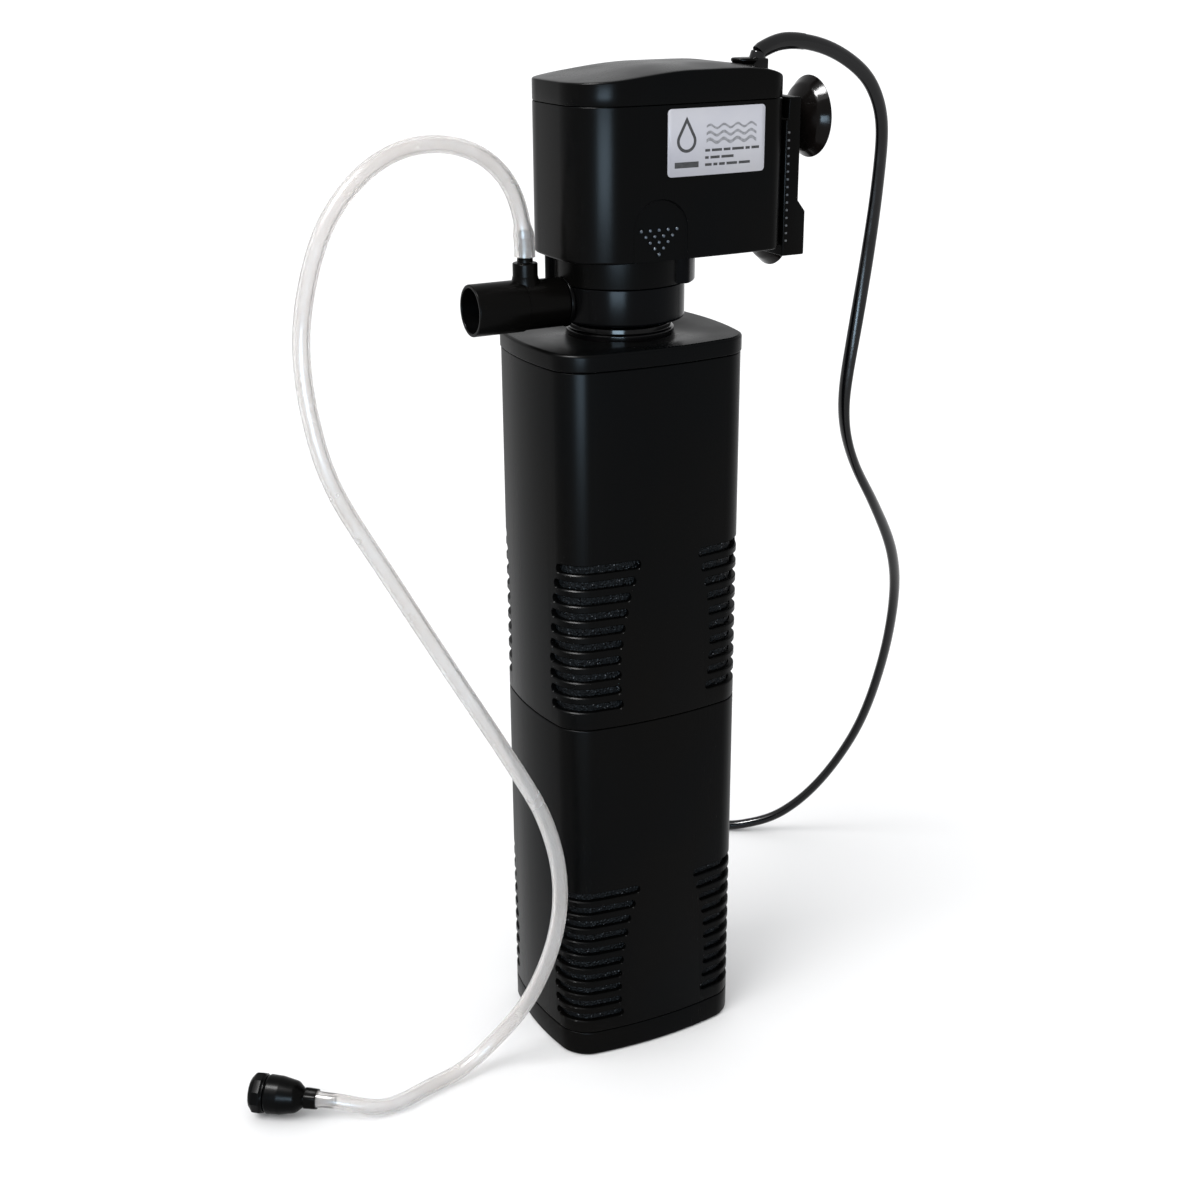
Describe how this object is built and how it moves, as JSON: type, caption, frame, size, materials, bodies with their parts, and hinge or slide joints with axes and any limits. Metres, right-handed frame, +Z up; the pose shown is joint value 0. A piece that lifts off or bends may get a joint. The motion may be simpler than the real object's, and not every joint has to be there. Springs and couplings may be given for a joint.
{
  "type": "submersible canister filter",
  "caption": "Submersible aquarium filter: motor head with suction cups on stacked slotted sponge canisters, side water outlet, air hose with valve, and a mains cord with plug.",
  "frame": {"origin": "centre of the base's underside, on the pump's vertical axis", "axes": "+Z up the column; the water outlet points to -Y, the suction cups to +Y, the label faces +X"},
  "size_m": [0.1997, 0.3736, 0.437],
  "materials": {
    "black_plastic": "satin moulded ABS",
    "gloss_black_plastic": "polished moulded plastic",
    "black_rubber": "smooth rubber and cord jacket",
    "sponge": "open-cell filter foam",
    "milky_hose": "translucent silicone",
    "label_foil": "matt printed foil",
    "lamination_steel": "laminated electrical steel",
    "enamelled_copper": "enamelled wire, potted",
    "ferrite": "sintered ferrite",
    "ceramic": "ground ceramic",
    "nickel_brass": "nickel-plated"
  },
  "bodies": {
    "base": {"base_cover": "black_plastic"},
    "lower_container": {"lower_canister": "black_plastic", "lower_sponge": "sponge", "lower_core_tube": "black_plastic"},
    "upper_container": {"upper_canister": "black_plastic", "upper_sponge": "sponge", "upper_core_tube": "black_plastic"},
    "lid": {"canister_lid": "black_plastic", "neck_seal": "black_rubber"},
    "pump": {"pump_chamber": "black_plastic", "shaft_bush_lower": "black_rubber"},
    "head": {"motor_housing": "black_plastic", "housing_cover": "black_plastic", "cable_gland": "gloss_black_plastic", "rating_label": "label_foil", "rotor_shaft": "ceramic", "shaft_bush_upper": "black_rubber", "stator_core": "lamination_steel", "coil_winding_left": "enamelled_copper", "coil_winding_right": "enamelled_copper", "power_cord": "black_rubber", "cord_coil": "black_rubber", "cord_tail": "black_rubber", "plug_body": "black_rubber", "plug_pin_left": "nickel_brass", "plug_pin_right": "nickel_brass"},
    "rotor": {"impeller": "gloss_black_plastic", "rotor_magnet": "ferrite"},
    "nozzle": {"outlet_nozzle": "black_plastic", "air_nipple": "black_plastic", "air_hose": "milky_hose", "valve_barb": "black_plastic", "air_valve_body": "black_plastic"},
    "valve_cap": {"air_valve_cap": "black_plastic"},
    "bracket": {"mounting_bracket": "black_plastic", "suction_cup_upper": "black_rubber", "suction_cup_lower": "black_rubber"}
  },
  "joints": [
    {"name": "lower_container_lift", "type": "slide", "parent": "base", "child": "lower_container", "axis": [0, 0, 1], "range_m": [0, 0.03]},
    {"name": "upper_container_lift", "type": "slide", "parent": "lower_container", "child": "upper_container", "axis": [0, 0, 1], "range_m": [0, 0.02]},
    {"name": "lid_lift", "type": "slide", "parent": "upper_container", "child": "lid", "axis": [0, 0, 1], "range_m": [0, 0.012]},
    {"name": "pump_lift", "type": "slide", "parent": "lid", "child": "pump", "axis": [0, 0, 1], "range_m": [0, 0.02]},
    {"name": "head_twist", "type": "hinge", "parent": "pump", "child": "head", "pos_m": [0, 0, 0.3427], "axis": [0, 0, 1], "range_deg": [-25, 0]},
    {"name": "rotor_spin", "type": "hinge", "parent": "head", "child": "rotor", "pos_m": [0, 0, 0.328], "axis": [0, 0, 1], "continuous": true},
    {"name": "nozzle_pull", "type": "slide", "parent": "pump", "child": "nozzle", "axis": [0, -1, 0], "range_m": [0, 0.012]},
    {"name": "valve_cap_turn", "type": "hinge", "parent": "nozzle", "child": "valve_cap", "pos_m": [0.019, -0.1565, 0.0092], "axis": [-0.5972, -0.802, 0.0102], "range_deg": [0, 270]},
    {"name": "bracket_slide", "type": "slide", "parent": "head", "child": "bracket", "axis": [0, 0, 1], "range_m": [-0.022, 0]}
  ]
}
